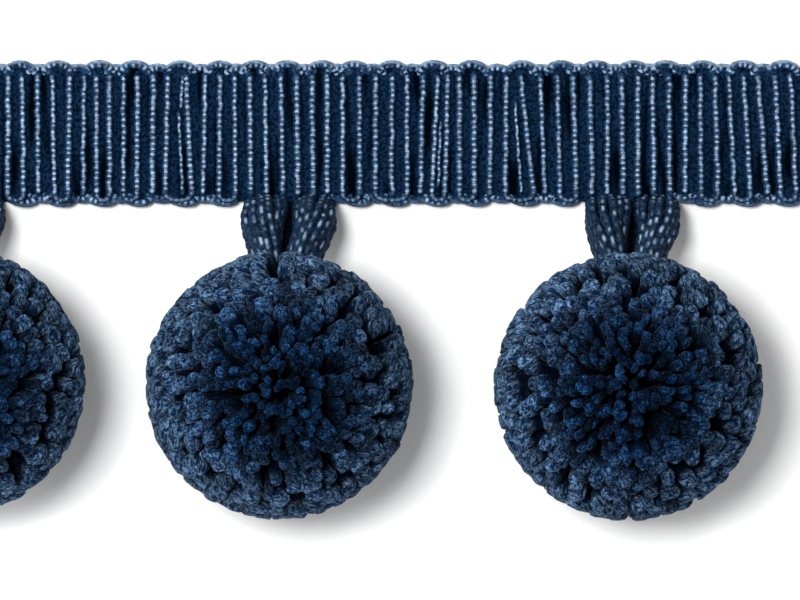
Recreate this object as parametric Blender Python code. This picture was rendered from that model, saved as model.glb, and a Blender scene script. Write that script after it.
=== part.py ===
# Pompom fringe trim, in metres, +Z up: a ribbed heading tape with three pompoms, each hung on a
# pair of strand bundles. The trim lies face up on its flat back. The origin is the middle of the
# heading's back, +X runs along the trim and +Y points from the pompoms to the heading.

import math
import random

import bmesh
import bpy
from mathutils import Matrix, Vector

MM = 0.001
MESH_GAP = 0.3 * MM          # clearance between pieces that touch

# heading tape
RIB_PITCH = 1.93 * MM
RIB_COUNT = 71
HEADING_WIDTH = 19.0 * MM
GROUND_HEIGHT = 1.25 * MM    # between the ribs
RIB_HEIGHT = 0.95 * MM       # crest above the ground
SCALLOP_PITCH = 5.0 * MM
SCALLOP_DEPTH = 0.5 * MM

# (column across one rib, in pitches from its valley; share of the rib's height there)
RIB_COLUMNS = (
    (0.00, 0.0),
    (0.32, 1.0),
    (0.68, 1.0),
)

# (inset from the scalloped edge, height, share of the rib added there), edge to rib root
EDGE_SECTION = (
    (0.00 * MM, 0.00 * MM, 0.0),    # foot
    (0.00 * MM, 1.10 * MM, 0.0),    # outer side of the edge cord
    (0.50 * MM, 1.85 * MM, 0.0),    # crest of the edge cord
    (1.25 * MM, 1.25 * MM, 0.2),    # valley behind it
    (1.85 * MM, GROUND_HEIGHT, 1.0),
)

# pompoms: a core with locks on it
BALL_RADIUS = 17.5 * MM
BALL_HEIGHT = 16.3 * MM      # centre above the surface: the lowest locks are shorter
CORE_RADIUS = 11.0 * MM
CELL_COUNT = 82              # points the core's cells are laid out from
SEAM_COUNT = 16              # of them, those along the parting that runs round each ball
CELL_JITTER = 0.055          # of the radius
LOCK_SHORTENING = 1.0 * MM   # the shortest lock, against the longest
PARTING_LEAN = 1.1 * MM      # how far tips beside the parting lean away from it
PARTING_WIDTH = 0.33         # of the radius

# (share of the way from core to tip, share of the lock's cell that it fills)
LOCK_RINGS = (
    (0.00, 0.84),
    (0.62, 0.88),
    (1.00, 0.52),
)

# hangers: two bundles of strands from the heading's edge to a neck on the ball's core
STRANDS_PER_BUNDLE = 4
STRAND_STEPS = 8
STRAND_GAP = 0.14 * MM
SPLIT_HALF = 0.5 * MM        # half the gap between the two bundles
BUNDLE_HALF = 5.85 * MM      # half the pair's width at the heading
BUNDLE_BULGE = 0.75 * MM     # added outwards on the way
NECK_HALF = 4.4 * MM         # half the pair's width at the neck
STRAND_DEPTH = 2.0 * MM      # at the heading
NECK_DEPTH = 3.0 * MM
NECK_LENGTH = 1.6 * MM
HANGER_RISE = 1.02 * MM      # height of the strands' middle at the heading
BUNDLE_ARCH = 0.35 * MM      # middle strands of a bundle lie this much higher
HANGER_CLEARANCE = 0.9 * MM  # free space kept round the strands inside a ball

# one row for each drop: where its hanger leaves the heading, and its ball's centre
DROPS = (
    {"hanger_x": -43.5 * MM, "ball_x": -43.2 * MM, "ball_y": -32.2 * MM},
    {"hanger_x": 0.0 * MM, "ball_x": -1.1 * MM, "ball_y": -32.4 * MM},
    {"hanger_x": 44.3 * MM, "ball_x": 43.8 * MM, "ball_y": -32.6 * MM},
)

FINISHES = {
    "heading_cord": {"color": (0.010, 0.040, 0.105, 1.0), "roughness": 0.55},
    "hanger_yarn": {"color": (0.009, 0.036, 0.095, 1.0), "roughness": 0.60},
    "pompom_yarn": {"color": (0.006, 0.028, 0.085, 1.0), "roughness": 0.85},
}


def make_material(name):
    material = bpy.data.materials.new(name)
    material.use_nodes = True
    shader = material.node_tree.nodes["Principled BSDF"]
    shader.inputs["Base Color"].default_value = FINISHES[name]["color"]
    shader.inputs["Roughness"].default_value = FINISHES[name]["roughness"]
    shader.inputs["Metallic"].default_value = 0.0
    return material


def add_object(name, bm, material):
    mesh = bpy.data.meshes.new(name)
    bm.to_mesh(mesh)
    bm.free()
    mesh.materials.append(material)
    piece = bpy.data.objects.new(name, mesh)
    bpy.context.collection.objects.link(piece)
    return piece


def grow(bm, face, rings):
    """Extrude a face through rings, each a function from a corner's offset to its new place."""
    middle = face.calc_center_median()
    offsets = [vert.co - middle for vert in face.verts]
    for ring in rings:
        face = bmesh.ops.extrude_discrete_faces(bm, faces=[face])["faces"][0]
        for vert, offset in zip(face.verts, offsets):
            vert.co = ring(offset)


# ---- heading

def scallop(x):
    """Inset of the heading's edge at x: round bumps that meet in notches."""
    return SCALLOP_DEPTH * (1.0 - math.sqrt(abs(math.sin(math.pi * x / SCALLOP_PITCH))))


def heading_columns():
    """x and rib share of each column of points, end to end."""
    start = -0.5 * RIB_COUNT * RIB_PITCH
    columns = [(start + (rib + place) * RIB_PITCH, share)
               for rib in range(RIB_COUNT) for place, share in RIB_COLUMNS]
    return columns + [(-start, 0.0)]


def heading_loop(x, share):
    """One closed section across the tape, up its lower edge and down its upper one."""
    half = 0.5 * HEADING_WIDTH - scallop(x)
    side = [(half - inset, height + share * rib * RIB_HEIGHT)
            for inset, height, rib in EDGE_SECTION]
    lower = [Vector((x, -y, z)) for y, z in side]
    upper = [Vector((x, y, z)) for y, z in reversed(side)]
    return lower + upper


def build_heading(material):
    bm = bmesh.new()
    loops = [[bm.verts.new(point) for point in heading_loop(x, share)]
             for x, share in heading_columns()]
    count = len(loops[0])
    for near, far in zip(loops, loops[1:]):
        for i in range(count):
            j = (i + 1) % count
            bm.faces.new((near[i], near[j], far[j], far[i]))
    bm.faces.new(reversed(loops[0]))
    bm.faces.new(loops[-1])
    bmesh.ops.recalc_face_normals(bm, faces=bm.faces)
    return add_object("heading", bm, material)


# ---- where a drop's parts lie

def ball_center(drop):
    return Vector((drop["ball_x"], drop["ball_y"], BALL_HEIGHT))


def hanger_start(drop):
    return Vector((drop["hanger_x"], -0.5 * HEADING_WIDTH - MESH_GAP, HANGER_RISE))


def hanger_axes(drop):
    """Directions at the ball: out along the hanger, across the pair, and through its depth."""
    out = (hanger_start(drop) - ball_center(drop)).normalized()
    across = Vector((0.0, 0.0, 1.0)).cross(out).normalized() * -1.0
    return out, across, out.cross(across)


# ---- pompoms

def cell_points(rng):
    """Points on the unit sphere: a ring round the parting, and a spiral over the rest."""
    points = []
    for i in range(SEAM_COUNT):
        angle = 2.0 * math.pi * (i + 0.5) / SEAM_COUNT
        points.append(Vector((0.0, math.cos(angle), math.sin(angle))))
    free = CELL_COUNT - SEAM_COUNT
    clear = math.pi / SEAM_COUNT
    golden = math.pi * (3.0 - math.sqrt(5.0))
    spin = rng.uniform(0.0, 2.0 * math.pi)
    for side in (-1.0, 1.0):
        for i in range(free // 2):
            x = clear + (1.0 - clear) * (i + 0.5) / (free // 2)
            ring = math.sqrt(1.0 - x * x)
            angle = golden * i + spin
            jitter = Vector([rng.uniform(-CELL_JITTER, CELL_JITTER) for _ in range(3)])
            point = Vector((side * x, ring * math.cos(angle), ring * math.sin(angle))) + jitter
            points.append(point.normalized())
    return points


def core_cells(bm, rng):
    """A closed core of mostly four-sided cells, none of them across the parting."""
    for point in cell_points(rng):
        bm.verts.new(point * CORE_RADIUS)
    bmesh.ops.convex_hull(bm, input=bm.verts)
    for face in bm.faces:
        face.material_index = int(face.calc_center_median().x > 0.0)
    bmesh.ops.join_triangles(bm, faces=bm.faces, cmp_materials=True,
                             angle_face_threshold=math.radians(50.0),
                             angle_shape_threshold=math.radians(60.0))
    for face in bm.faces:
        face.material_index = 0
    bm.normal_update()
    return list(bm.faces)


def in_hanger_path(face, axes):
    """Whether a lock on this cell would stand where the hanger runs into the ball."""
    out, across, through = axes
    for vert in face.verts:
        place = vert.co.normalized()
        if place.dot(out) <= 0.0:
            continue
        side = abs(place.dot(across)) * BALL_RADIUS
        depth = abs(place.dot(through)) * BALL_RADIUS
        middle = face.calc_center_median().normalized()
        if (abs(middle.dot(across)) * BALL_RADIUS < BUNDLE_HALF + HANGER_CLEARANCE
                and abs(middle.dot(through)) * BALL_RADIUS < NECK_DEPTH + HANGER_CLEARANCE
                and middle.dot(out) > 0.0):
            return True
        if side < BUNDLE_HALF and depth < 0.5 * NECK_DEPTH + HANGER_CLEARANCE:
            return True
    return False


def lean_from_parting(tip):
    """Shift of a tip away from the parting plane, none at the front and back of the ball."""
    near = math.exp(-(tip.x / (PARTING_WIDTH * BALL_RADIUS)) ** 2)
    rim = abs(tip.y) / BALL_RADIUS
    return Vector((math.copysign(PARTING_LEAN * near * rim, tip.x), 0.0, 0.0))


def lock_rings(face, rng):
    """Ring functions for one lock: straight out from its cell, narrowed to its tip."""
    middle = face.calc_center_median()
    axis = middle.normalized()
    length = BALL_RADIUS - rng.uniform(0.0, LOCK_SHORTENING)
    if axis.z < -0.5:
        length = min(length, BALL_HEIGHT / -axis.z)
    tip = axis * length
    tip += lean_from_parting(tip)
    level = -BALL_HEIGHT
    resting = tip.z < level + LOCK_SHORTENING

    def ring_at(share, fill):
        center = middle.lerp(tip, share)
        spread = fill * center.length / middle.length

        def place(offset):
            point = center + offset * spread
            if share == 1.0 and resting:
                point.z = level
            point.z = max(point.z, level)
            return point
        return place
    return [ring_at(share, fill) for share, fill in LOCK_RINGS]


def build_pompom(number, drop, material):
    rng = random.Random(100 + number)
    bm = bmesh.new()
    axes = hanger_axes(drop)
    for face in core_cells(bm, rng):
        if not in_hanger_path(face, axes):
            grow(bm, face, lock_rings(face, rng))
    bmesh.ops.recalc_face_normals(bm, faces=bm.faces)
    bmesh.ops.triangulate(bm, faces=bm.faces)
    bmesh.ops.translate(bm, verts=bm.verts, vec=ball_center(drop))
    return add_object("pompom_%d" % number, bm, material)


# ---- hangers

def hanger_curve(drop, share):
    """Middle of the pair and its direction, from the neck (0) to the heading (1)."""
    out = hanger_axes(drop)[0]
    start = hanger_start(drop)
    neck = ball_center(drop) + out * (CORE_RADIUS + MESH_GAP + NECK_LENGTH)
    reach = (start - neck).length / 3.0
    points = (neck, neck + out * reach, start - Vector((0.0, reach, 0.0)), start)
    a, b, c, d = points
    t = share
    place = a * (1 - t) ** 3 + b * 3 * t * (1 - t) ** 2 + c * 3 * t * t * (1 - t) + d * t ** 3
    along = (b - a) * (1 - t) ** 2 + (c - b) * 2 * t * (1 - t) + (d - c) * t * t
    return place, along.normalized()


def strand_lanes(share):
    """Middle and half width of each strand across the pair, from left to right."""
    bulge = BUNDLE_BULGE * math.sin(math.pi * min(1.0, share / 0.9)) ** 2
    half = NECK_HALF + (BUNDLE_HALF - NECK_HALF) * share ** 0.6 + bulge
    width = (half - SPLIT_HALF) / STRANDS_PER_BUNDLE
    right = [SPLIT_HALF + width * (i + 0.5) for i in range(STRANDS_PER_BUNDLE)]
    lanes = [-x for x in reversed(right)] + right
    return lanes, 0.5 * (width - STRAND_GAP)


def strand_rings(drop, lane, offsets_across, offsets_through):
    """Ring functions for one strand, from the neck to the heading's edge."""
    def ring_at(share):
        place, along = hanger_curve(drop, share)
        across = Vector((0.0, 0.0, 1.0)).cross(along).normalized() * -1.0
        through = along.cross(across)
        lanes, half_width = strand_lanes(share)
        half_depth = 0.5 * (NECK_DEPTH + (STRAND_DEPTH - NECK_DEPTH) * share ** 0.5)
        within = (lane % STRANDS_PER_BUNDLE + 0.5) / STRANDS_PER_BUNDLE
        arch = BUNDLE_ARCH * math.sin(math.pi * within) * math.sin(math.pi * share)

        def put(offset):
            side = math.copysign(half_width, offset.dot(offsets_across))
            depth = math.copysign(half_depth, offset.dot(offsets_through))
            return place + across * (lanes[lane] + side) + through * depth + Vector((0, 0, arch))
        return put
    return [ring_at((step + 1) / STRAND_STEPS) for step in range(STRAND_STEPS)]


def build_hanger(number, drop, material):
    out, across, through = hanger_axes(drop)
    turn = Matrix((across, through, out)).transposed().to_4x4()
    count = 2 * STRANDS_PER_BUNDLE
    neck_end = ball_center(drop) + out * (CORE_RADIUS + MESH_GAP + NECK_LENGTH)
    bm = bmesh.new()
    bmesh.ops.create_grid(bm, x_segments=count, y_segments=1, size=0.5)
    bmesh.ops.scale(bm, verts=bm.verts, vec=(2.0 * NECK_HALF, NECK_DEPTH, 1.0))
    fronts = sorted(bm.faces, key=lambda face: face.calc_center_median().x)
    block = bmesh.ops.extrude_face_region(bm, geom=list(bm.faces), use_keep_orig=True)
    backs = [item for item in block["geom"] if isinstance(item, bmesh.types.BMVert)]
    bmesh.ops.translate(bm, verts=backs, vec=(0.0, 0.0, -NECK_LENGTH))
    bmesh.ops.transform(bm, matrix=Matrix.Translation(neck_end) @ turn, verts=bm.verts)
    bmesh.ops.inset_individual(bm, faces=fronts, thickness=0.5 * STRAND_GAP)
    for lane, face in enumerate(fronts):
        grow(bm, face, strand_rings(drop, lane, across, through))
    bmesh.ops.recalc_face_normals(bm, faces=bm.faces)
    bmesh.ops.triangulate(bm, faces=bm.faces)
    return add_object("hanger_%d" % number, bm, material)


def main():
    for piece in list(bpy.data.objects):
        bpy.data.objects.remove(piece, do_unlink=True)
    cord = make_material("heading_cord")
    hanger_yarn = make_material("hanger_yarn")
    pompom_yarn = make_material("pompom_yarn")
    build_heading(cord)
    for number, drop in enumerate(DROPS, start=1):
        build_hanger(number, drop, hanger_yarn)
        build_pompom(number, drop, pompom_yarn)


main()
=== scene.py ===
import math
import random

import bmesh
import bpy
from mathutils import Matrix, Vector, noise


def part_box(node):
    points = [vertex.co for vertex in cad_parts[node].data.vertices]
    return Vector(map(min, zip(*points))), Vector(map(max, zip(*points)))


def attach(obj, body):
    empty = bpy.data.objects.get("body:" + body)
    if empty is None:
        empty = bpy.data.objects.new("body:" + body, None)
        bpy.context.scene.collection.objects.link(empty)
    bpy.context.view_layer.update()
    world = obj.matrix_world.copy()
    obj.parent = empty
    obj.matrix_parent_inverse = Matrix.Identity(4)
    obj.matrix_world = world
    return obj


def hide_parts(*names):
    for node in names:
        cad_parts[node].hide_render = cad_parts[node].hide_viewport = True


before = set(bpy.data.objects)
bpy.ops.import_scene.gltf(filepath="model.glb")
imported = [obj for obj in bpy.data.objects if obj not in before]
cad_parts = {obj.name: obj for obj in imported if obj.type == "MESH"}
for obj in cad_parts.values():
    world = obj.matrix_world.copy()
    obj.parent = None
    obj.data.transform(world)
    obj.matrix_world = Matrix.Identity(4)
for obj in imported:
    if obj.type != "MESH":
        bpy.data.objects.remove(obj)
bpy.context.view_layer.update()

# Pompom fringe trim, lying face up. Metres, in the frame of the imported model: +X runs along
# the tape, +Y from the pompoms to the tape, +Z up.
mm = 0.001


# helpers

def hexToLinear(hexColour):
    channels = [int(hexColour[i:i + 2], 16) / 255 for i in (1, 3, 5)]
    linear = [c / 12.92 if c <= 0.04045 else ((c + 0.055) / 1.055) ** 2.4 for c in channels]
    return (*linear, 1.0)


def addNode(tree, kind, inputs=(), **settings):
    # inputs go in by key or in order: a value, a hex colour, a node (for its result) or an output
    node = tree.nodes.new(kind)
    for label, value in settings.items():
        setattr(node, label, value)
    for key, value in inputs.items() if isinstance(inputs, dict) else enumerate(inputs):
        if isinstance(value, bpy.types.Node):
            value = next(output for output in value.outputs if output.enabled)
        if isinstance(value, bpy.types.NodeSocket):
            tree.links.new(value, node.inputs[key])
        elif isinstance(value, str) and value.startswith("#"):
            node.inputs[key].default_value = hexToLinear(value)
        else:
            node.inputs[key].default_value = value
    return node


def newTree(name, inputs):
    tree = bpy.data.node_groups.new(name, "GeometryNodeTree")
    tree.interface.new_socket("Geometry", in_out="INPUT", socket_type="NodeSocketGeometry")
    for label, kind in inputs.items():
        tree.interface.new_socket(label, in_out="INPUT", socket_type="NodeSocket" + kind)
    tree.interface.new_socket("Geometry", in_out="OUTPUT", socket_type="NodeSocketGeometry")
    return tree, addNode(tree, "NodeGroupInput").outputs


def endTree(tree, geometry, material):
    # the instances made real, in their material
    real = addNode(tree, "GeometryNodeRealizeInstances", (geometry,))
    coloured = addNode(tree, "GeometryNodeSetMaterial", {"Geometry": real, "Material": material})
    addNode(tree, "NodeGroupOutput", (coloured,))
    return tree


def newMaterial(name, **sockets):
    material = bpy.data.materials.new(name)
    material.use_nodes = True
    shader = material.node_tree.nodes["Principled BSDF"]
    for label, value in sockets.items():
        shader.inputs[label.replace("_", " ")].default_value = value
    return material, material.node_tree, shader


def addObject(name, data):
    added = bpy.data.objects.new(name, data)
    bpy.context.collection.objects.link(added)
    return added


def wireMesh(name, points, edges=(), faces=()):
    mesh = bpy.data.meshes.new(name)
    mesh.from_pydata(points, edges, faces)
    return mesh


def finishMesh(bm, name):
    mesh = bpy.data.meshes.new(name)
    bm.to_mesh(mesh)
    bm.free()
    return mesh


def growPiece(name, source, tree, values):
    # runs a tree on an object and leaves its result as a plain mesh of that name
    modifier = source.modifiers.new(tree.name, "NODES")
    modifier.node_group = tree
    for item in tree.interface.items_tree:
        if item.in_out == "INPUT" and item.name in values:
            modifier[item.identifier] = values[item.name]
    bpy.context.view_layer.update()
    grown = source.evaluated_get(bpy.context.evaluated_depsgraph_get())
    mesh = bpy.data.meshes.new_from_object(grown)
    source.modifiers.remove(modifier)
    mesh.name = name
    piece = addObject(name, mesh)
    bpy.data.objects.remove(source)
    return piece


def wireObject(name, paths, attributes):
    # paths are lists of points; each attribute holds one number for each path
    edges = []
    start = 0
    for path in paths:
        edges += [(start + i, start + i + 1) for i in range(len(path) - 1)]
        start += len(path)
    mesh = wireMesh(name, [point for path in paths for point in path], edges)
    for label, values in attributes.items():
        layer = mesh.attributes.new(label, "FLOAT", "POINT")
        perPoint = [value for value, path in zip(values, paths) for _ in path]
        layer.data.foreach_set("value", perPoint)
    return addObject(name, mesh)


def triangleCount(piece):
    return sum(len(polygon.vertices) - 2 for polygon in piece.data.polygons)


# camera, light and floor

viewSizes = dict(
    center=(14.45 * mm, -21.5 * mm),    # the point straight below the camera
    width=104.2 * mm,                   # how much of the surface it sees from side to side
    distance=1.2,
    sensor=36.0,
    clipStart=0.01,
    floorHalf=1.2,
    floorDrop=0.15 * mm,
)


def addView():
    camera = bpy.data.cameras.new("camera")
    camera.sensor_width = viewSizes["sensor"]
    camera.lens = viewSizes["sensor"] * viewSizes["distance"] / viewSizes["width"]
    camera.clip_start = viewSizes["clipStart"]
    holder = addObject("camera", camera)
    holder.location = (*viewSizes["center"], viewSizes["distance"])
    bpy.context.scene.camera = holder
    bpy.context.scene.view_settings.view_transform = "Standard"


def addFloor():
    # matt pale paper, lit until it is white
    half = viewSizes["floorHalf"]
    level = -viewSizes["floorDrop"]
    corners = [(-half, -half, level), (half, -half, level), (half, half, level), (-half, half, level)]
    floor = addObject("floor", wireMesh("floor", corners, faces=[(0, 1, 2, 3)]))
    paper = newMaterial("pale paper", Base_Color=hexToLinear("#f4f4f4"), Roughness=0.9)[0]
    floor.data.materials.append(paper)


lights = {
    # both aim at the trim's middle; size and place in metres, power in watts
    "key": dict(place=(-0.222, 0.083, 1.00), size=0.25, power=9.8),
    "side": dict(place=(-0.96, 0.20, 0.36), size=0.7, power=10.0),
}
skyStrength = 0.48


def addLights():
    target = Vector((*viewSizes["center"], 0.0))
    for name, light in lights.items():
        lamp = bpy.data.lights.new(name, "AREA")
        lamp.size = light["size"]
        lamp.energy = light["power"]
        holder = addObject(name, lamp)
        holder.location = light["place"]
        holder.rotation_euler = (target - Vector(light["place"])).to_track_quat("-Z", "Y").to_euler()
    world = bpy.data.worlds.new("studio")
    bpy.context.scene.world = world
    world.use_nodes = True
    background = world.node_tree.nodes["Background"]
    background.inputs["Color"].default_value = hexToLinear("#ffffff")
    background.inputs["Strength"].default_value = skyStrength


# materials

# settings that many nodes share: a Map Range that eases in and out, and a Mix of two colours
eased = {"interpolation_type": "SMOOTHSTEP"}
colours = {"data_type": "RGBA"}


def patches(tree, size, detail=2.0):
    # soft patches about that size in millimetres
    place = addNode(tree, "ShaderNodeTexCoord").outputs["Object"]
    return addNode(tree, "ShaderNodeTexNoise", {"Vector": place, "Scale": 1 / (size * mm), "Detail": detail})


def strokes(tree, tuft):
    # fibres that run along a yarn end and wind round it, drawn far coarser than they are, to show
    local = addNode(tree, "ShaderNodeAttribute", attribute_name="along").outputs["Vector"]
    height = addNode(tree, "ShaderNodeSeparateXYZ", (local,)).outputs["Z"]
    turn = addNode(tree, "ShaderNodeMath", (height, 2 * math.pi / (9.0 * mm)), operation="MULTIPLY")
    wound = addNode(tree, "ShaderNodeVectorRotate", {"Vector": local, "Angle": turn}, rotation_type="Z_AXIS")
    drawn = addNode(tree, "ShaderNodeVectorMath", (wound, (1.0, 1.0, 0.6)), operation="MULTIPLY")
    own = addNode(tree, "ShaderNodeMath", (tuft, 20.0), operation="MULTIPLY")
    return addNode(tree, "ShaderNodeTexNoise",
                   {"Vector": drawn, "W": own, "Scale": 1 / (0.44 * mm), "Detail": 2.0, "Distortion": 1.0},
                   noise_dimensions="4D")


def softYarnMaterial():
    # cut cotton yarn: a matt pile, with painted shade making it near black on its packed ends and in its
    # depth, and a painted sheen making it paler on its sides
    material, tree, shader = newMaterial(
        "cut cotton yarn", Roughness=0.85, IOR=1.5, Specular_IOR_Level=0.02,
        Sheen_Weight=0.22, Sheen_Roughness=0.3, Sheen_Tint=hexToLinear("#8fa9c4"))
    tip = addNode(tree, "ShaderNodeAttribute", attribute_name="tip").outputs["Fac"]
    axis = addNode(tree, "ShaderNodeAttribute", attribute_name="axis").outputs["Vector"]
    tuft = addNode(tree, "ShaderNodeAttribute", attribute_name="tuft").outputs["Fac"]
    normal = addNode(tree, "ShaderNodeNewGeometry").outputs["Normal"]
    facing = addNode(tree, "ShaderNodeVectorMath", (normal, axis), operation="DOT_PRODUCT")
    # painted light: where the surface faces along the yarn, at its end, it gets the darker colours as shade,
    # and its sides the paler ones as sheen
    end = addNode(tree, "ShaderNodeMapRange", (facing, -0.30, 0.42), **eased)
    fibre = addNode(tree, "ShaderNodeMapRange", (strokes(tree, tuft), 0.41, 0.67), **eased)
    # painted shade: the ends round the dimple, packed close, are painted dark
    rise = addNode(tree, "ShaderNodeSeparateXYZ", (axis,)).outputs["Z"]
    pole = addNode(tree, "ShaderNodeMath", (rise,), operation="ABSOLUTE")
    middle = addNode(tree, "ShaderNodeMapRange", (pole, 0.42, 0.94), **eased)
    shade = addNode(tree, "ShaderNodeMix", {0: end, 6: "#12304f", 7: "#061b36"}, **colours)
    light = addNode(tree, "ShaderNodeMix", {0: end, 6: "#7d96b3", 7: "#577799"}, **colours)
    base = addNode(tree, "ShaderNodeMix", {0: middle, 6: shade, 7: "#010b1c"}, **colours)
    pale = addNode(tree, "ShaderNodeMix", {0: middle, 6: light, 7: "#133458"}, **colours)
    cloth = addNode(tree, "ShaderNodeMix", {0: fibre, 6: base, 7: pale}, **colours)
    # painted shade: each end darkens to near black towards its root, down among its neighbours
    depth = addNode(tree, "ShaderNodeMapRange", (tip, 0.72, 0.97), **eased)
    depthShaded = addNode(tree, "ShaderNodeMix", {0: depth, 6: "#010b1b", 7: cloth}, **colours)
    # each end has a tone of its own, most of all round the dimple
    spread = addNode(tree, "ShaderNodeMapRange", (middle, 0.0, 1.0, 0.35, 1.1))
    off = addNode(tree, "ShaderNodeMath", (tuft, 0.5), operation="SUBTRACT")
    apart = addNode(tree, "ShaderNodeMath", (spread, off), operation="MULTIPLY")
    tone = addNode(tree, "ShaderNodeMath", (1.0, apart), operation="ADD")
    squared = addNode(tree, "ShaderNodeMath", (tone, tone), operation="MULTIPLY")
    mottle = addNode(tree, "ShaderNodeMapRange", (patches(tree, 0.3), 0.3, 0.7, 0.5, 1.38), **eased)
    uneven = addNode(tree, "ShaderNodeMath", (squared, mottle), operation="MULTIPLY")
    colour = addNode(tree, "ShaderNodeVectorMath", {0: depthShaded, "Scale": uneven}, operation="SCALE")
    tree.links.new(colour.outputs["Vector"], shader.inputs["Base Color"])
    # the pile takes the light as a soft whole, not as hard little knobs
    softened = addNode(tree, "ShaderNodeMix", {0: 0.55, 4: normal, 5: axis}, data_type="VECTOR")
    bump = addNode(tree, "ShaderNodeBump",
                   {"Distance": 0.2 * mm, "Strength": 0.7, "Height": fibre, "Normal": softened})
    tree.links.new(bump.outputs[0], shader.inputs["Normal"])
    return material


def gimpCordMaterial():
    # dark covered cord whose mercerised stitches show as a row of beads along its top, pale with a painted
    # highlight on their crests; the turns of its wrapping, here and on the next two, are drawn as coarse as
    # they need to show
    material, tree, shader = newMaterial(
        "stitched gimp cord", Roughness=0.55, IOR=1.5, Specular_IOR_Level=0.08,
        Sheen_Weight=0.06, Sheen_Roughness=0.4, Sheen_Tint=hexToLinear("#5f86b0"))
    bead = addNode(tree, "ShaderNodeAttribute", attribute_name="bead").outputs["Fac"]
    lit = addNode(tree, "ShaderNodeAttribute", attribute_name="lit").outputs["Fac"]
    normal = addNode(tree, "ShaderNodeNewGeometry").outputs["Normal"]
    up = addNode(tree, "ShaderNodeSeparateXYZ", (normal,)).outputs["Z"]
    wraps = addNode(tree, "ShaderNodeMapRange", (patches(tree, 0.35), 0.35, 0.65), **eased)
    cloth = addNode(tree, "ShaderNodeMix", {0: wraps, 6: "#030f20", 7: "#1a3a5c"}, **colours)
    joined = addNode(tree, "ShaderNodeMapRange", (patches(tree, 1.6, 1.0), 0.45, 0.66, 0.12, 0.66), **eased)
    stitch = addNode(tree, "ShaderNodeMapRange", (bead, 0.3, 1.0), **eased)
    longer = addNode(tree, "ShaderNodeMath", (stitch, joined), operation="MAXIMUM")
    row = addNode(tree, "ShaderNodeMath", (longer, lit), operation="MULTIPLY")
    bright = addNode(tree, "ShaderNodeMapRange", (patches(tree, 0.7), 0.3, 0.65, 0.45, 1.0), **eased)
    patchyShine = addNode(tree, "ShaderNodeMath", (row, bright), operation="MULTIPLY")
    # painted highlight: the stitches show pale only where the cord faces up
    highlightCrest = addNode(tree, "ShaderNodeMapRange", (up, 0.80, 0.985), **eased)
    paintedHighlight = addNode(tree, "ShaderNodeMath", (patchyShine, highlightCrest), operation="MULTIPLY")
    colour = addNode(tree, "ShaderNodeMix", {0: paintedHighlight, 6: cloth, 7: "#9cb6d1"}, **colours)
    tree.links.new(colour.outputs[2], shader.inputs["Base Color"])
    return material


def hangerYarnMaterial():
    # the same covered yarn, slack in the bundles: long dull stitches and a few bright ones, their brightness
    # a painted highlight kept off the yarn's sides; the yarns behind the gap are painted dark as shade
    material, tree, shader = newMaterial(
        "covered hanger yarn", Roughness=0.55, IOR=1.5, Specular_IOR_Level=0.08,
        Sheen_Weight=0.10, Sheen_Roughness=0.4, Sheen_Tint=hexToLinear("#5f86b0"))
    bead = addNode(tree, "ShaderNodeAttribute", attribute_name="bead").outputs["Fac"]
    shaded = addNode(tree, "ShaderNodeAttribute", attribute_name="shaded").outputs["Fac"]
    normal = addNode(tree, "ShaderNodeNewGeometry").outputs["Normal"]
    turn = addNode(tree, "ShaderNodeSeparateXYZ", (normal,)).outputs["X"]
    wraps = addNode(tree, "ShaderNodeMapRange", (patches(tree, 0.45), 0.35, 0.68), **eased)
    # painted shade: the yarns behind the gap get only the darkest wrapping and no stitches
    unshaded = addNode(tree, "ShaderNodeMath", (1.0, shaded), operation="SUBTRACT")
    weave = addNode(tree, "ShaderNodeMath", (wraps, unshaded), operation="MULTIPLY")
    cloth = addNode(tree, "ShaderNodeMix", {0: weave, 6: "#020915", 7: "#112d4a"}, **colours)
    swelled = addNode(tree, "ShaderNodeMapRange", (bead, 0.05, 1.0), **eased)
    bright = addNode(tree, "ShaderNodeMapRange", (patches(tree, 1.7, 1.5), 0.37, 0.65, 0.05, 0.88), **eased)
    stitch = addNode(tree, "ShaderNodeMath", (swelled, bright), operation="MULTIPLY")
    # painted highlight: the stitches show only where the yarn does not face sideways
    across = addNode(tree, "ShaderNodeMath", (turn,), operation="ABSOLUTE")
    highlightCrest = addNode(tree, "ShaderNodeMapRange", (across, 0.05, 0.5, 1.0, 0.0), **eased)
    front = addNode(tree, "ShaderNodeMath", (stitch, unshaded), operation="MULTIPLY")
    paintedHighlight = addNode(tree, "ShaderNodeMath", (front, highlightCrest), operation="MULTIPLY")
    colour = addNode(tree, "ShaderNodeMix", {0: paintedHighlight, 6: cloth, 7: "#8fa9c4"}, **colours)
    tree.links.new(colour.outputs[2], shader.inputs["Base Color"])
    bump = addNode(tree, "ShaderNodeBump", {"Distance": 0.12 * mm, "Strength": 0.6, "Height": wraps})
    tree.links.new(bump.outputs[0], shader.inputs["Normal"])
    return material


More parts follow.
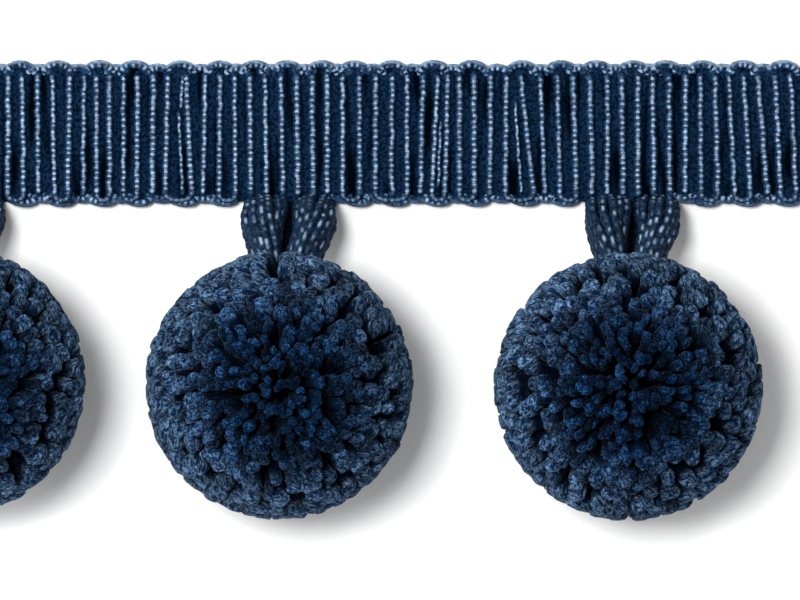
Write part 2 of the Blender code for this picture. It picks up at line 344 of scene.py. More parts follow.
def edgeCordMaterial():
    # the same cord turned over the edge: soft dark wrapping, a painted pale sheen outside, stitched inside
    # with a painted highlight
    material, tree, shader = newMaterial(
        "edge gimp cord", Roughness=0.7, IOR=1.5, Specular_IOR_Level=0.08,
        Sheen_Weight=0.15, Sheen_Roughness=0.4, Sheen_Tint=hexToLinear("#7f9dbf"))
    bead = addNode(tree, "ShaderNodeAttribute", attribute_name="bead").outputs["Fac"]
    place = addNode(tree, "ShaderNodeTexCoord").outputs["Object"]
    across = addNode(tree, "ShaderNodeSeparateXYZ", (place,)).outputs["Y"]
    normal = addNode(tree, "ShaderNodeNewGeometry").outputs["Normal"]
    turn = addNode(tree, "ShaderNodeSeparateXYZ", (normal,)).outputs
    side = addNode(tree, "ShaderNodeMath", (across,), operation="SIGN")
    outward = addNode(tree, "ShaderNodeMath", (turn["Y"], side), operation="MULTIPLY")
    # painted sheen: pale, strongest on the upper edge, in patches, and on what faces out and up
    above = addNode(tree, "ShaderNodeMapRange", (across, -1 * mm, 1 * mm, 0.2, 0.7), **eased)
    patchyShine = addNode(tree, "ShaderNodeMapRange", (patches(tree, 0.7), 0.36, 0.6, 0.35, 1.0), **eased)
    upper = addNode(tree, "ShaderNodeMapRange", (turn["Z"], -0.3, 0.3), **eased)
    sheenFacingUp = addNode(tree, "ShaderNodeMath", (upper, patchyShine), operation="MULTIPLY")
    stronger = addNode(tree, "ShaderNodeMath", (above, sheenFacingUp), operation="MULTIPLY")
    outside = addNode(tree, "ShaderNodeMapRange", (outward, -0.1, 0.7), **eased)
    paintedSheen = addNode(tree, "ShaderNodeMath", (stronger, outside), operation="MULTIPLY")
    wraps = patches(tree, 0.5)
    soft = addNode(tree, "ShaderNodeMapRange", (wraps, 0.35, 0.65), **eased)
    cloth = addNode(tree, "ShaderNodeMix", {0: soft, 6: "#04122a", 7: "#1d3f63"}, **colours)
    edge = addNode(tree, "ShaderNodeMix", {0: paintedSheen, 6: cloth, 7: "#8fa6be"}, **colours)
    # the stitches as a painted highlight: on the side that faces the tape, and near the top
    swelled = addNode(tree, "ShaderNodeMapRange", (bead, 0.3, 0.9), **eased)
    bright = addNode(tree, "ShaderNodeMapRange", (patches(tree, 1.1), 0.40, 0.60, 0.0, 0.95), **eased)
    lit = addNode(tree, "ShaderNodeMath", (swelled, bright), operation="MULTIPLY")
    inside = addNode(tree, "ShaderNodeMapRange", (outward, -0.2, 0.45, 1.0, 0.15), **eased)
    inner = addNode(tree, "ShaderNodeMath", (lit, inside), operation="MULTIPLY")
    highlightCrest = addNode(tree, "ShaderNodeMapRange", (turn["Z"], 0.5, 0.9), **eased)
    stitchHighlight = addNode(tree, "ShaderNodeMath", (inner, highlightCrest), operation="MULTIPLY")
    colour = addNode(tree, "ShaderNodeMix", {0: stitchHighlight, 6: edge, 7: "#8fa9c4"}, **colours)
    tree.links.new(colour.outputs[2], shader.inputs["Base Color"])
    bump = addNode(tree, "ShaderNodeBump", {"Distance": 0.15 * mm, "Strength": 0.7, "Height": wraps})
    tree.links.new(bump.outputs[0], shader.inputs["Normal"])
    return material


def groundMaterial():
    # close dark cotton weave, seen only between the ribs: takes nearly all the light
    material, tree, shader = newMaterial("dark cotton ground", Roughness=0.9, IOR=1.5,
                                         Specular_IOR_Level=0.0)
    grain = addNode(tree, "ShaderNodeMapRange", (patches(tree, 0.42, 3.0), 0.32, 0.68), **eased)
    cloth = addNode(tree, "ShaderNodeMix", {0: grain, 6: "#030e1c", 7: "#142c49"}, **colours)
    # dark lanes from edge to edge, about as wide as the space between two ribs
    place = addNode(tree, "ShaderNodeTexCoord").outputs["Object"]
    long = addNode(tree, "ShaderNodeVectorMath", (place, (1.0, 0.12, 0.0)), operation="MULTIPLY")
    lane = addNode(tree, "ShaderNodeTexNoise", {"Vector": long, "Scale": 1 / (1.7 * mm), "Detail": 1.0})
    between = addNode(tree, "ShaderNodeMapRange", (lane, 0.34, 0.54), **eased)
    colour = addNode(tree, "ShaderNodeMix", {0: between, 6: "#01060d", 7: cloth}, **colours)
    tree.links.new(colour.outputs[2], shader.inputs["Base Color"])
    bump = addNode(tree, "ShaderNodeBump", {"Distance": 0.15 * mm, "Strength": 0.6, "Height": grain})
    tree.links.new(bump.outputs[0], shader.inputs["Normal"])
    return material


# beaded cord

def beadedCordTree():
    # sweeps a round cord along every wire, swelling into a bead at each stitch
    tree, given = newTree("beaded cord", {
        "Radius": "Float", "Waist": "Float", "Bead Length": "Float", "Sides": "Int",
        "Step": "Float", "Uneven": "Float", "Zigzag": "Float", "Material": "Material"})
    wires = addNode(tree, "GeometryNodeMeshToCurve", (given["Geometry"],))
    smooth = addNode(tree, "GeometryNodeCurveSplineType", (wires,), spline_type="CATMULL_ROM")
    steps = addNode(tree, "GeometryNodeResampleCurve", {"Curve": smooth, "Length": given["Step"]},
                    mode="LENGTH")
    along = addNode(tree, "GeometryNodeSplineParameter").outputs["Length"]
    phase = addNode(tree, "GeometryNodeInputNamedAttribute", {"Name": "phase"})
    size = addNode(tree, "GeometryNodeInputNamedAttribute", {"Name": "size"})
    place = addNode(tree, "GeometryNodeInputPosition")

    # which stitch it is: counted along the wire, and strayed a little from an even row
    count = addNode(tree, "ShaderNodeMath", (along, given["Bead Length"]), operation="DIVIDE")
    drift = addNode(tree, "ShaderNodeTexNoise", {"Vector": place, "Scale": 1 / (1.6 * mm), "Detail": 1.0})
    strayed = addNode(tree, "ShaderNodeMath", (drift, given["Uneven"]), operation="MULTIPLY")
    begun = addNode(tree, "ShaderNodeMath", (count, phase), operation="ADD")
    stitch = addNode(tree, "ShaderNodeMath", (begun, strayed), operation="ADD")
    angle = addNode(tree, "ShaderNodeMath", (stitch, 2 * math.pi), operation="MULTIPLY")
    wave = addNode(tree, "ShaderNodeMath", (angle,), operation="COSINE")
    bead = addNode(tree, "ShaderNodeMapRange", (wave, -1.0, 1.0))
    marked = addNode(tree, "GeometryNodeStoreNamedAttribute",
                     {"Geometry": steps, "Name": "bead", "Value": bead}, domain="POINT", data_type="FLOAT")

    # every second stitch lies to the other side
    halfAngle = addNode(tree, "ShaderNodeMath", (stitch, math.pi), operation="MULTIPLY")
    turn = addNode(tree, "ShaderNodeMath", (halfAngle,), operation="SINE")
    sideways = addNode(tree, "ShaderNodeMath", (turn, given["Zigzag"]), operation="MULTIPLY")
    aside = addNode(tree, "ShaderNodeCombineXYZ", (sideways,))
    strung = addNode(tree, "GeometryNodeSetPosition", {"Geometry": marked, "Offset": aside})

    # its thickness, from the waist between two stitches to the middle of a bead
    swelling = addNode(tree, "ShaderNodeMath", (1.0, given["Waist"]), operation="SUBTRACT")
    fuller = addNode(tree, "ShaderNodeMath", (bead, 0.6), operation="POWER")
    rise = addNode(tree, "ShaderNodeMath", (fuller, swelling), operation="MULTIPLY")
    girth = addNode(tree, "ShaderNodeMath", (rise, given["Waist"]), operation="ADD")
    own = addNode(tree, "ShaderNodeMath", (size, girth), operation="MULTIPLY")
    ring = addNode(tree, "GeometryNodeCurvePrimitiveCircle",
                   {"Resolution": given["Sides"], "Radius": given["Radius"]})
    swept = addNode(tree, "GeometryNodeCurveToMesh",
                    {"Curve": strung, "Profile Curve": ring, "Scale": own, "Fill Caps": True})
    soft = addNode(tree, "GeometryNodeSetShadeSmooth", (swept,))
    return endTree(tree, soft, given["Material"])


# heading

tapeLow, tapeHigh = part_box("heading")

tapeSizes = dict(
    ribPitch=1.96 * mm,        # past both ends of the table of ribs
    ribEnd=7.45 * mm,          # from the middle line to where a rib dives under the edge cord
    ribMargin=0.8 * mm,        # the last rib to the tape's end, at least
    ribLift=1.50 * mm,         # height of a rib cord's middle
    ribDive=0.85 * mm,         # and at its two ends
    ribDiveLength=0.5 * mm,
    ribStep=0.6 * mm,
    loopDrop=1.1 * mm,         # how far the loops between ribs reach past them
    loopRise=0.22 * mm,
    waver=0.16 * mm,           # how far a rib strays sideways
    thickness=(0.88, 1.12),    # share of the rib cord's, least and most
    brokenThickness=0.62,
    loopThickness=0.85,
    brightness=(0.82, 1.08),   # of its stitches, least and most
    loopBrightness=0.45,
    groundHeight=1.20 * mm,
    groundHalf=8.7 * mm,
    groundMargin=0.3 * mm,
    groundGrid=(140, 12),
)

# where each rib crosses the middle line in millimetres, and how far it leans in a millimetre
ribTable = (
    (-36.5, 0.01), (-34.6, -0.01), (-32.6, -0.01), (-30.6, -0.02), (-28.6, 0.01), (-26.7, 0.01),
    (-25.0, 0.0), (-23.3, 0.0), (-21.5, 0.0), (-19.7, 0.0), (-17.7, 0.01), (-15.9, 0.02),
    (-13.0, -0.05), (-11.0, 0.02), (-9.0, 0.01), (-7.0, -0.01), (-5.0, -0.01), (-3.0, -0.01),
    (-0.9, -0.02), (1.1, -0.01), (3.1, -0.01), (5.0, 0.0), (7.0, 0.0), (9.2, 0.0), (11.3, 0.0),
    (13.4, 0.0), (15.4, 0.0), (17.3, 0.02), (19.0, 0.05), (20.5, 0.03), (22.2, 0.0), (24.1, 0.0),
    (26.2, 0.01), (28.2, 0.01), (31.0, -0.11), (33.0, -0.04), (35.1, -0.02), (37.2, -0.03),
    (39.3, -0.02), (41.4, 0.0), (43.4, -0.01), (45.4, 0.0), (47.4, -0.01), (49.5, -0.01),
    (51.6, 0.01), (53.6, -0.01), (55.6, -0.03), (57.6, -0.05), (59.6, -0.06), (61.6, -0.08),
    (63.6, -0.05), (65.6, -0.05),
)

# short broken ribs squeezed between two others: middle line crossing, lean, lowest and highest y
brokenRibs = ((-14.3, 0.06, 3.6, 7.4), (-14.2, -0.05, -7.4, 2.6), (29.7, -0.07, -7.4, 4.0),
              (19.7, 0.05, -6.5, 1.5))

ribCord = {
    "Radius": 0.52 * mm,
    "Waist": 0.78,
    "Bead Length": 0.76 * mm,
    "Sides": 8,
    "Step": 0.137 * mm,
    "Uneven": 0.9,
    "Zigzag": 0.05 * mm,
}

edgeSizes = dict(
    bumpHalf=1.9 * mm,
    bumpTop=9.2 * mm,          # middle of the cord at the top of a bump
    bumpFoot=7.4 * mm,
    lowHalf=1.5 * mm,          # the low arcs between two bumps
    lowTop=8.75 * mm,
    lowDrop=0.3 * mm,
    hemTop=8.9 * mm,           # top of a bump along the side the pompoms hang from
    hemLowTop=8.45 * mm,
    slant=0.7 * mm,
    lift=1.35 * mm,            # height of the cord's middle at the top of a bump
    tuck=0.45 * mm,            # and at its tucked ends
    pitch=4.95 * mm,
    endGap=0.6 * mm,
    thickness=(0.94, 1.06),    # share of the cord's, least and most
)

edgeCord = {
    "Radius": 0.56 * mm,
    "Waist": 0.92,
    "Bead Length": 0.72 * mm,
    "Sides": 10,
    "Step": 0.155 * mm,
    "Uneven": 1.0,
    "Zigzag": 0.0,
}

# middles of the bumps along the edge, in millimetres
bumpTable = (-35.0, -30.1, -24.7, -20.1, -14.1, -9.0, -4.4, -0.3, 4.3, 8.5, 13.4, 18.8, 23.8,
             30.3, 35.4, 40.0, 44.8, 49.0, 53.8, 59.1, 64.3)


def bumpPlaces():
    # the middles of all bumps, carried on to the tape's left end
    e = edgeSizes
    places = [x * mm for x in bumpTable]
    while places[0] - e["pitch"] > e["bumpHalf"] + e["endGap"] - tapeHigh[0]:
        places.insert(0, places[0] - e["pitch"])
    return places


def nearHanger(x):
    return any(abs(x - middle) < hangerSizes["clear"] for middle in hangerMiddles)


def ribPath(x, lean, low=None, high=None):
    t = tapeSizes
    low = -t["ribEnd"] if low is None else low
    high = t["ribEnd"] if high is None else high
    steps = 2 + int((high - low) / t["ribStep"])
    path = [(x + lean * low, low - t["ribDiveLength"], t["ribDive"])]
    for i in range(steps + 1):
        y = low + (high - low) * i / steps
        waver = noise.noise(Vector((x / (1 * mm), y / (1.5 * mm), 5.0)))
        path.append((x + lean * y + waver * t["waver"], y, t["ribLift"]))
    path.append((x + lean * high, high + t["ribDiveLength"], t["ribDive"]))
    return path


def halfTurn(steps):
    return [math.pi * i / steps for i in range(steps + 1)]


def hemLoop(middle, ribs):
    # the cord turns round a bump of the hem, from one rib into the next
    t = tapeSizes
    feet = sorted(x - lean * t["ribEnd"] for x, lean, _, _ in ribs)
    left = max(x for x in feet if x < middle)
    right = min(x for x in feet if x > middle)
    path = []
    for turn in halfTurn(8):
        depth = math.sin(turn) ** 0.7
        path.append((left + (right - left) * (0.5 - 0.5 * math.cos(turn)),
                     -t["ribEnd"] - t["loopDrop"] * depth, t["ribLift"] + t["loopRise"] * depth))
    return path


def addRibs(cordTree, material):
    t = tapeSizes
    end = tapeHigh[0] - t["ribMargin"]
    ribs = [(x * mm, lean, None, None) for x, lean in ribTable]
    while ribs[0][0] - t["ribPitch"] > -end:
        ribs.insert(0, (ribs[0][0] - t["ribPitch"], 0.0, None, None))
    while ribs[-1][0] + t["ribPitch"] < end:
        ribs.append((ribs[-1][0] + t["ribPitch"], 0.0, None, None))
    loops = [hemLoop(x, ribs) for x in bumpPlaces() if not nearHanger(x)]
    ribs += [(x * mm, lean, low * mm, high * mm) for x, lean, low, high in brokenRibs]
    paths = [ribPath(*rib) for rib in ribs] + loops
    chance = random.Random(5)
    phases = [chance.random() for _ in paths]
    sizes = [t["brokenThickness"] if rib[2] else chance.uniform(*t["thickness"]) for rib in ribs]
    sizes += [t["loopThickness"] for _ in loops]
    lit = [chance.uniform(*t["brightness"]) for _ in ribs] + [t["loopBrightness"] for _ in loops]
    wires = wireObject("ribWires", paths, {"phase": phases, "size": sizes, "lit": lit})
    return growPiece("ribCords", wires, cordTree, {**ribCord, "Material": material})


def arcPath(middle, half, top, side, lift, slant=0.0):
    # over the edge and back, its two ends tucked under
    e = edgeSizes
    path = []
    for turn in halfTurn(10):
        x = middle - half * math.cos(turn) + slant * math.sin(turn)
        y = e["bumpFoot"] + (top - e["bumpFoot"]) * math.sin(turn) ** 0.75
        z = e["tuck"] + (lift - e["tuck"]) * math.sin(turn) ** 0.8
        path.append((x, side * y, z))
    return path


def addEdges(cordTree, material):
    e = edgeSizes
    bumps = bumpPlaces()
    lowLift = e["lift"] - e["lowDrop"]
    paths = []
    for i, middle in enumerate(bumps):
        paths.append(arcPath(middle, e["bumpHalf"], e["bumpTop"], 1, e["lift"]))
        if not nearHanger(middle):
            paths.append(arcPath(middle, e["bumpHalf"], e["hemTop"], -1, e["lift"], e["slant"]))
        if i:
            low = 0.5 * (middle + bumps[i - 1])
            paths.append(arcPath(low, e["lowHalf"], e["lowTop"], 1, lowLift))
            if not nearHanger(low):
                paths.append(arcPath(low, e["lowHalf"], e["hemLowTop"], -1, lowLift, e["slant"]))
    chance = random.Random(9)
    phases = [chance.random() for _ in paths]
    sizes = [chance.uniform(*e["thickness"]) for _ in paths]
    wires = wireObject("edgeWires", paths, {"phase": phases, "size": sizes})
    return growPiece("edgeCords", wires, cordTree, {**edgeCord, "Material": material})


def addGround(material):
    # one thin cloth with a flat back
    t = tapeSizes
    bm = bmesh.new()
    bmesh.ops.create_grid(bm, x_segments=t["groundGrid"][0], y_segments=t["groundGrid"][1], size=1.0)
    bmesh.ops.scale(bm, verts=bm.verts, vec=(tapeHigh[0] - t["groundMargin"], t["groundHalf"], 1.0))
    bmesh.ops.translate(bm, verts=bm.verts, vec=(0, 0, t["groundHeight"]))
    back = bmesh.ops.extrude_face_region(bm, geom=list(bm.faces), use_keep_orig=True)
    for item in back["geom"]:
        if isinstance(item, bmesh.types.BMVert):
            item.co.z = 0.0
    bmesh.ops.recalc_face_normals(bm, faces=bm.faces)
    piece = addObject("groundCloth", finishMesh(bm, "groundCloth"))
    piece.data.materials.append(material)
    return piece


# hangers

hangerSizes = dict(
    yarns=14,                      # in each bundle, two of them in its middle
    thickness=(0.9, 1.08),         # share of a yarn's, least and most
    split=0.6 * mm,
    halfAtTape=6.1 * mm,
    halfAtBall=3.7 * mm,
    inset=1.25 * mm,               # from a bundle's side to the middles of its outer yarns
    bulge=0.17,
    depth=1.55 * mm,
    twist=1.6,                     # turn of a bundle from the tape to the ball, in radians
    waver=0.7 * mm,
    shift=0.4 * mm,
    behind=(-1.6 * mm, -0.5 * mm, 0.5 * mm, 1.6 * mm),    # places of the yarns behind the gap
    sink=2.6 * mm,                 # how far those hang below the bundles
    start=-8.9 * mm,
    startLift=1.1 * mm,
    aim=(-9.5 * mm, 1.0 * mm),     # the point at the tape's edge that it heads for, along and up
    neck=11.5 * mm,                # from the ball's middle to where it ends
    rise=(-2.0 * mm, 7.0 * mm),    # first and last bend of its arch, along and up
    fall=(4.5 * mm, 3.2 * mm),
    lowest=0.65 * mm,
    clear=6.6 * mm,                # no bump of the hem within this of its middle
)

hangerYarn = {
    "Radius": 0.67 * mm,
    "Waist": 0.80,
    "Bead Length": 2.0 * mm,
    "Sides": 10,
    "Step": 0.22 * mm,
    "Uneven": 1.0,
    "Zigzag": 0.0,
}


def middleOf(name):
    low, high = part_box(name)
    return (low[0] + high[0]) / 2


hangerMiddles = [middleOf("hanger_%d" % i) for i in (1, 2, 3)]


def towardsTape(number, ball):
    # from a ball's middle to where its hanger leaves the tape
    return (Vector((hangerMiddles[number - 1], *hangerSizes["aim"])) - ball).normalized()


def hangerPaths(number, ball):
    # two bundles, each a slowly turning ring of yarns round two in the middle
    h = hangerSizes
    middle = hangerMiddles[number - 1]
    d = ball + towardsTape(number, ball) * h["neck"]
    a = Vector((middle + h["shift"], h["start"], h["startLift"]))
    b = a + Vector((0, *h["rise"]))
    c = d + Vector((0, *h["fall"]))
    ringed = h["yarns"] - 2
    paths = []
    for side in (-1, 1):
        for yarn in range(h["yarns"]):
            path = []
            for step in range(13):
                t = step / 12
                place = a * (1 - t) ** 3 + b * 3 * t * (1 - t) ** 2 + c * 3 * t * t * (1 - t) + d * t ** 3
                along = (b - a) * (1 - t) ** 2 + (c - b) * 2 * t * (1 - t) + (d - c) * t * t
                through = along.normalized().cross(Vector((1, 0, 0)))
                swell = 1.0 + h["bulge"] * math.sin(math.pi * min(1.0, t * 1.6)) ** 2
                half = (h["halfAtTape"] + (h["halfAtBall"] - h["halfAtTape"]) * t) * swell
                split = h["split"] * (0.35 + 0.65 * math.sin(math.pi * min(1.0, 1.5 * t)) ** 2)
                turn = 2 * math.pi * yarn / ringed + side * h["twist"] * t
                reach = 1.0 if yarn < ringed else 0.35
                waver = noise.noise(Vector((yarn * 3.1 + side, t * 3.0, middle * 50)))
                sweep = reach * math.cos(turn) * (half - split - h["inset"]) / 2
                place.x += side * 0.5 * (half + split) + sweep + waver * h["waver"] * (1 - t)
                place += through * (reach * math.sin(turn) * h["depth"] * min(1.0, 0.4 + 3 * t))
                place.z = max(place.z, h["lowest"])
                path.append(place)
            paths.append(path)
    for x in h["behind"]:
        # a few yarns close the back of the gap between the bundles
        path = []
        for step in range(9):
            t = step / 8
            place = a * (1 - t) ** 2 + c * 2 * t * (1 - t) + d * t * t
            path.append((a.x + x, place.y, place.z - h["sink"] * math.sin(math.pi * t)))
        paths.append(path)
    return paths


def addHanger(number, cordTree, ball, material):
    paths = hangerPaths(number, ball)
    bundled = 2 * hangerSizes["yarns"]
    chance = random.Random(30 + number)
    phases = [chance.random() for _ in paths]
    sizes = [chance.uniform(*hangerSizes["thickness"]) for _ in paths]
    # the yarns behind the gap are marked for painted shade
    shaded = [float(i >= bundled) for i in range(len(paths))]
    wires = wireObject("hangerWires", paths, {"phase": phases, "size": sizes, "shaded": shaded})
    return growPiece("hangerYarns_%d" % number, wires, cordTree, {**hangerYarn, "Material": material})


# pompoms

ballSizes = {
    "Radius": 17.42 * mm,
    "Core Radius": 9.5 * mm,
    "Spacing": 1.38 * mm,
    "Density": 1.2e7,
    "Shorter": 0.10,           # share of a yarn's length by which some fall short
    "Lean": 0.10,
    "Crowding": 1.4,
    "Clump": 1.2,
    "Splay": 0.18,             # the yarns open from a dimple at the top and the bottom
    "Parting": 0.15,
    "Hanger Room": 0.19,       # no yarn stands this near the hanger, on a ball of radius one
}

ballPlace = dict(
    height=16.3 * mm,          # of its middle
    floor=0.2 * mm,            # the ends stop this far above the surface
    # from the middles of the solids, along and up the tape's face
    shifts=((-0.36 * mm, 0.32 * mm), (0.0, -0.24 * mm), (0.02 * mm, 0.06 * mm)),
)

coreSizes = dict(
    lump=0.03,                 # unevenness, as a share of its radius
    lumpSize=1.2 * mm,
    tip=0.1,                   # painted with the shade of the lowest tenth of a yarn
)

endSizes = dict(
    length=7.8 * mm,
    radius=0.93 * mm,
    sides=12,
    lump=0.30 * mm,            # unevenness of its surface
    lumpSize=0.9 * mm,
    variants=8,
)

# outline of a cut end from root to tip: share of its length, then of its radius
endRows = ((0.0, 0.45), (0.35, 0.62), (0.6, 0.82), (0.78, 0.95), (0.88, 1.0), (0.945, 0.93),
           (0.985, 0.72), (1.0, 0.38))


def yarnEnd(number):
    # one cut end: a blunt tuft of fibre that opens out and closes in a dome
    e = endSizes
    bm = bmesh.new()
    tip = bm.verts.layers.float.new("tip")
    along = bm.verts.layers.float_vector.new("along")
    rows = []
    for share, width in endRows:
        row = []
        for side in range(e["sides"]):
            turn = 2 * math.pi * (side + 0.5 * (len(rows) % 2)) / e["sides"]
            away = Vector((math.cos(turn), math.sin(turn), 0.0))
            spot = away * e["radius"] * width + Vector((0, 0, e["length"] * share))
            rough = noise.noise(spot / e["lumpSize"] + Vector((0, 0, 20.0 * number)))
            outward = away * 0.8 + Vector((0, 0, 0.6 * share))
            vert = bm.verts.new(spot + outward * rough * e["lump"] * (0.3 + share))
            vert[tip] = share
            vert[along] = vert.co
            row.append(vert)
        rows.append(row)
    for lower, upper in zip(rows, rows[1:]):
        for i in range(e["sides"]):
            j = (i + 1) % e["sides"]
            bm.faces.new((lower[i], lower[j], upper[j], upper[i]))
    top = bm.verts.new((0, 0, e["length"]))
    top[tip] = 1.0
    top[along] = top.co
    for i in range(e["sides"]):
        bm.faces.new((rows[-1][i], rows[-1][(i + 1) % e["sides"]], top))
    bm.faces.new(reversed(rows[0]))
    for face in bm.faces:
        face.smooth = True
    return bpy.data.objects.new("yarnEnd_%d" % number, finishMesh(bm, "yarnEnd_%d" % number))


def cutYarnTree():
    # stands yarn ends all over a core, parted round the middle and short beneath
    tree, given = newTree("cut yarn ball", {
        "Ends": "Collection", "Radius": "Float", "Core Radius": "Float", "Spacing": "Float",
        "Density": "Float", "Shorter": "Float", "Lean": "Float", "Parting": "Float",
        "Splay": "Float", "Crowding": "Float", "Clump": "Float", "Hanger Room": "Float",
        "Floor": "Float", "Seed": "Int", "Hanger": "Vector", "Material": "Material"})
    core = addNode(tree, "GeometryNodeMeshIcoSphere", {"Subdivisions": 5, "Radius": given["Core Radius"]})
    place = addNode(tree, "GeometryNodeInputPosition")
    outward = addNode(tree, "ShaderNodeVectorMath", (place,), operation="NORMALIZE")
    split = addNode(tree, "ShaderNodeSeparateXYZ", (outward,)).outputs
    height = addNode(tree, "ShaderNodeMath", (split["Z"],), operation="ABSOLUTE")

    # the core is drawn out at its top while the ends are scattered, which crowds them there
    drawn = addNode(tree, "ShaderNodeMapRange", (split["Z"], 0.58, 1.02), **eased)
    crowd = addNode(tree, "ShaderNodeMath", (drawn, given["Crowding"]), operation="MULTIPLY")
    stretch = addNode(tree, "ShaderNodeMath", (crowd, 1.0), operation="ADD")
    stretched = addNode(tree, "ShaderNodeVectorMath", {0: place, "Scale": stretch}, operation="SCALE")
    long = addNode(tree, "GeometryNodeSetPosition", {"Geometry": core, "Position": stretched})
    scatter = addNode(tree, "GeometryNodeDistributePointsOnFaces",
                      {"Mesh": long, "Distance Min": given["Spacing"], "Density Max": given["Density"],
                       "Seed": given["Seed"]}, distribute_method="POISSON")
    onCore = addNode(tree, "ShaderNodeVectorMath", {0: outward, "Scale": given["Core Radius"]},
                     operation="SCALE")
    placed = addNode(tree, "GeometryNodeSetPosition", {"Geometry": scatter, "Position": onCore})

    # drop the ends that would stand in the hanger
    across = addNode(tree, "ShaderNodeVectorMath", (outward, given["Hanger"]), operation="DISTANCE")
    blocked = addNode(tree, "FunctionNodeCompare", (across, given["Hanger Room"]),
                      data_type="FLOAT", operation="LESS_THAN")
    kept = addNode(tree, "GeometryNodeDeleteGeometry", {"Geometry": placed, "Selection": blocked},
                   domain="POINT")

    # lean: each end a little at random
    stray = addNode(tree, "FunctionNodeRandomValue",
                    {0: (-1, -1, -1), 1: (1, 1, 1), "Seed": given["Seed"]}, data_type="FLOAT_VECTOR")
    looser = addNode(tree, "ShaderNodeMapRange", (split["Z"], 0.7, 0.95, 1.0, 1.8), **eased)
    freely = addNode(tree, "ShaderNodeMath", (looser, given["Lean"]), operation="MULTIPLY")
    alone = addNode(tree, "ShaderNodeVectorMath", {0: stray, "Scale": freely}, operation="SCALE")

    # and neighbours together, in clumps, though less so low down and at the dimple
    field = addNode(tree, "ShaderNodeTexNoise",
                    {"Vector": outward, "W": given["Seed"], "Scale": 4.5, "Detail": 0.0},
                    noise_dimensions="4D").outputs["Color"]
    centred = addNode(tree, "ShaderNodeVectorMath", (field, (0.5, 0.5, 0.5)), operation="SUBTRACT")
    higher = addNode(tree, "ShaderNodeMapRange", (height, 0.26, 0.76, 0.15, 1.0), **eased)
    calmed = addNode(tree, "ShaderNodeMath", (drawn, 0.6), operation="MULTIPLY")
    stirred = addNode(tree, "ShaderNodeMath", (1.0, calmed), operation="SUBTRACT")
    packed = addNode(tree, "ShaderNodeMath", (higher, stirred), operation="MULTIPLY")
    strength = addNode(tree, "ShaderNodeMath", (packed, given["Clump"]), operation="MULTIPLY")
    together = addNode(tree, "ShaderNodeVectorMath", {0: centred, "Scale": strength}, operation="SCALE")
    strayed = addNode(tree, "ShaderNodeVectorMath", (alone, together), operation="ADD")

    # away from the parting, a bent line across the ball
    wave = addNode(tree, "ShaderNodeTexNoise", {"Vector": outward, "Scale": 3.5, "Detail": 0.0})
    bent = addNode(tree, "ShaderNodeMapRange", (wave, 0.0, 1.0, -0.10, 0.10))
    offline = addNode(tree, "ShaderNodeMath", (split["X"], bent), operation="ADD")
    side = addNode(tree, "ShaderNodeMath", (offline,), operation="SIGN")
    gap = addNode(tree, "ShaderNodeMath", (offline,), operation="ABSOLUTE")
    nearness = addNode(tree, "ShaderNodeMapRange", (gap, 0.0, 0.14, 1.0, 0.0), **eased)
    aside = addNode(tree, "ShaderNodeMath", (split["Y"],), operation="ABSOLUTE")
    rim = addNode(tree, "ShaderNodeMapRange", (aside, 0.3, 0.6), **eased)
    below = addNode(tree, "ShaderNodeMapRange", (split["Y"], -0.2, 0.2, 0.6, 1.0), **eased)
    near = addNode(tree, "ShaderNodeMath", (nearness, rim), operation="MULTIPLY")
    push = addNode(tree, "ShaderNodeMath", (below, given["Parting"]), operation="MULTIPLY")
    sidePush = addNode(tree, "ShaderNodeMath", (side, push), operation="MULTIPLY")
    parted = addNode(tree, "ShaderNodeMath", (near, sidePush), operation="MULTIPLY")
    shift = addNode(tree, "ShaderNodeCombineXYZ", (parted,))

    # and outwards, so that the dimple opens
    leaned = addNode(tree, "ShaderNodeVectorMath", (outward, strayed), operation="ADD")
    level = addNode(tree, "ShaderNodeVectorMath", (outward, (1.0, 1.0, 0.0)), operation="MULTIPLY")
    reach = addNode(tree, "ShaderNodeVectorMath", (level,), operation="LENGTH")
    farther = addNode(tree, "ShaderNodeMapRange", (reach, 0.0, 0.8), **eased)
    opening = addNode(tree, "ShaderNodeMath", (farther, given["Splay"]), operation="MULTIPLY")
    splayed = addNode(tree, "ShaderNodeVectorMath", {0: level, "Scale": opening}, operation="SCALE")
    opened = addNode(tree, "ShaderNodeVectorMath", (leaned, splayed), operation="ADD")
    aim = addNode(tree, "ShaderNodeVectorMath", (opened, shift), operation="ADD")
    turned = addNode(tree, "FunctionNodeAlignRotationToVector", {"Vector": aim}, axis="Z")
    spin = addNode(tree, "FunctionNodeRandomValue", {3: 2 * math.pi, "Seed": given["Seed"]},
                   data_type="FLOAT")
    spun = addNode(tree, "FunctionNodeAxisAngleToRotation", {"Axis": (0, 0, 1), "Angle": spin})
    rotation = addNode(tree, "FunctionNodeRotateRotation", (turned, spun), rotation_space="LOCAL")

    # length: uneven, and shorter over the floor
    uneven = addNode(tree, "FunctionNodeRandomValue", {3: 1.0}, data_type="FLOAT")
    calm = addNode(tree, "ShaderNodeMapRange", (height, 0.2, 0.95, 0.3, 1.4), **eased)
    most = addNode(tree, "ShaderNodeMath", (calm, given["Shorter"]), operation="MULTIPLY")
    less = addNode(tree, "ShaderNodeMath", (uneven, most), operation="MULTIPLY")
    share = addNode(tree, "ShaderNodeMath", (1.0, less), operation="SUBTRACT")
    down = addNode(tree, "ShaderNodeMath", (split["Z"], -0.3), operation="MINIMUM")
    room = addNode(tree, "ShaderNodeMath", (given["Floor"], down), operation="DIVIDE")
    spare = addNode(tree, "ShaderNodeMath", (room, given["Core Radius"]), operation="SUBTRACT")
    full = addNode(tree, "ShaderNodeMath", (given["Radius"], given["Core Radius"]), operation="SUBTRACT")
    fits = addNode(tree, "ShaderNodeMath", (spare, full), operation="DIVIDE")
    length = addNode(tree, "ShaderNodeMath", (share, fits), operation="MINIMUM")

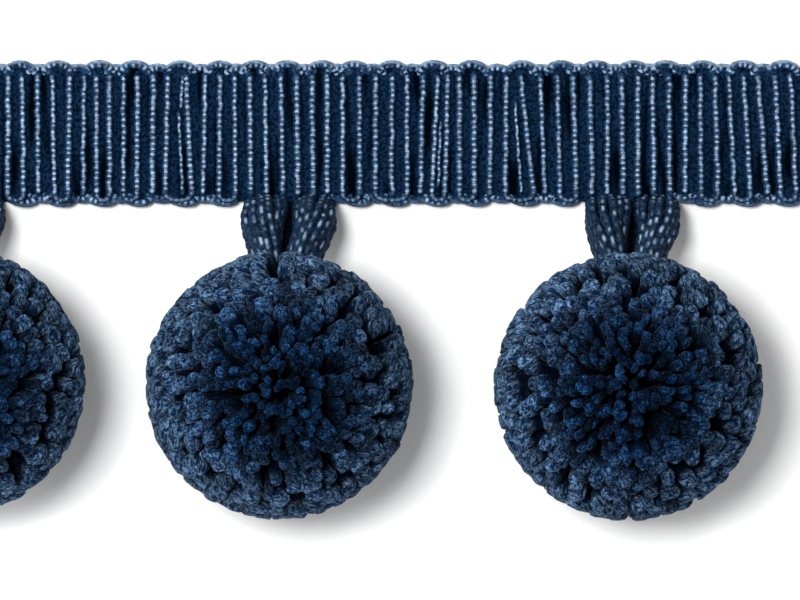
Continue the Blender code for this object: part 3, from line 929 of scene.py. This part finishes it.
    # thickness: uneven, wider low down and slimmer at the dimple
    wide = addNode(tree, "ShaderNodeMapRange", (height, 0.28, 0.80, 1.50, 1.10), **eased)
    slimmer = addNode(tree, "ShaderNodeMath", (drawn, 0.44), operation="MULTIPLY")
    slim = addNode(tree, "ShaderNodeMath", (wide, slimmer), operation="SUBTRACT")
    width = addNode(tree, "FunctionNodeRandomValue", {2: 0.68, 3: 1.22, "Seed": 7}, data_type="FLOAT")
    depth = addNode(tree, "FunctionNodeRandomValue", {2: 0.75, 3: 1.1, "Seed": 8}, data_type="FLOAT")
    widened = addNode(tree, "ShaderNodeMath", (width, slim), operation="MULTIPLY")
    deepened = addNode(tree, "ShaderNodeMath", (depth, slim), operation="MULTIPLY")
    scale = addNode(tree, "ShaderNodeCombineXYZ", (widened, deepened, length))

    ends = addNode(tree, "GeometryNodeCollectionInfo",
                   {"Collection": given["Ends"], "Separate Children": True, "Reset Children": True})
    stood = addNode(tree, "GeometryNodeInstanceOnPoints",
                    {"Points": kept, "Instance": ends, "Pick Instance": True, "Rotation": rotation,
                     "Scale": scale})
    tone = addNode(tree, "FunctionNodeRandomValue", {"Seed": 3}, data_type="FLOAT")
    toned = addNode(tree, "GeometryNodeStoreNamedAttribute",
                    {"Geometry": stood, "Name": "tuft", "Value": tone}, domain="INSTANCE", data_type="FLOAT")
    aimed = addNode(tree, "GeometryNodeStoreNamedAttribute",
                    {"Geometry": toned, "Name": "axis", "Value": outward},
                    domain="INSTANCE", data_type="FLOAT_VECTOR")
    return endTree(tree, aimed, given["Material"])


def ballCenter(number):
    low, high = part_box("pompom_%d" % number)
    aside, up = ballPlace["shifts"][number - 1]
    return Vector(((low[0] + high[0]) / 2 + aside, (low[1] + high[1]) / 2 + up, ballPlace["height"]))


def addPompom(number, tree, ends, center, material):
    values = {**ballSizes, "Ends": ends, "Floor": ballPlace["floor"] - center.z, "Seed": 40 + number,
              "Hanger": towardsTape(number, center), "Material": material}
    start = addObject("ballStart", wireMesh("ballStart", [(0, 0, 0)]))
    piece = growPiece("cutYarns_%d" % number, start, tree, values)
    piece.data.transform(Matrix.Translation(center))
    return piece


def addCore(number, center, material):
    # a rough ball that closes the gaps between the roots, painted near black with the yarns' painted depth
    # shade
    bm = bmesh.new()
    bmesh.ops.create_icosphere(bm, subdivisions=4, radius=ballSizes["Core Radius"])
    tip = bm.verts.layers.float.new("tip")
    for vert in bm.verts:
        vert.co *= 1.0 + coreSizes["lump"] * noise.noise(vert.co / coreSizes["lumpSize"])
        vert[tip] = coreSizes["tip"]
    bmesh.ops.translate(bm, verts=bm.verts, vec=center)
    piece = addObject("ballCore_%d" % number, finishMesh(bm, "ballCore_%d" % number))
    piece.data.materials.append(material)
    return piece


# assembly

addView()
addFloor()
addLights()
print("view, floor and lights ready")

beadTree = beadedCordTree()
ground = addGround(groundMaterial())
ribs = addRibs(beadTree, gimpCordMaterial())
edges = addEdges(beadTree, edgeCordMaterial())
for piece in (ground, ribs, edges):
    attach(piece, "root")
    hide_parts("heading")
print("tape:", triangleCount(ribs), "rib triangles,", triangleCount(edges), "edge triangles")

yarnMaterial = hangerYarnMaterial()
softYarn = softYarnMaterial()
endObjects = [yarnEnd(i) for i in range(endSizes["variants"])]
endGroup = bpy.data.collections.new("yarnEnds")
for item in endObjects:
    endGroup.objects.link(item)
ballTree = cutYarnTree()
for number in (1, 2, 3):
    center = ballCenter(number)
    hanger = addHanger(number, beadTree, center, yarnMaterial)
    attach(hanger, "root")
    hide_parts("hanger_%d" % number)
    core = addCore(number, center, softYarn)
    cut = addPompom(number, ballTree, endGroup, center, softYarn)
    for piece in (core, cut):
        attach(piece, "root")
        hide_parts("pompom_%d" % number)
    print("drop", number, triangleCount(hanger), "hanger and", triangleCount(cut), "pompom triangles")
for item in endObjects:
    bpy.data.objects.remove(item)
bpy.data.collections.remove(endGroup)
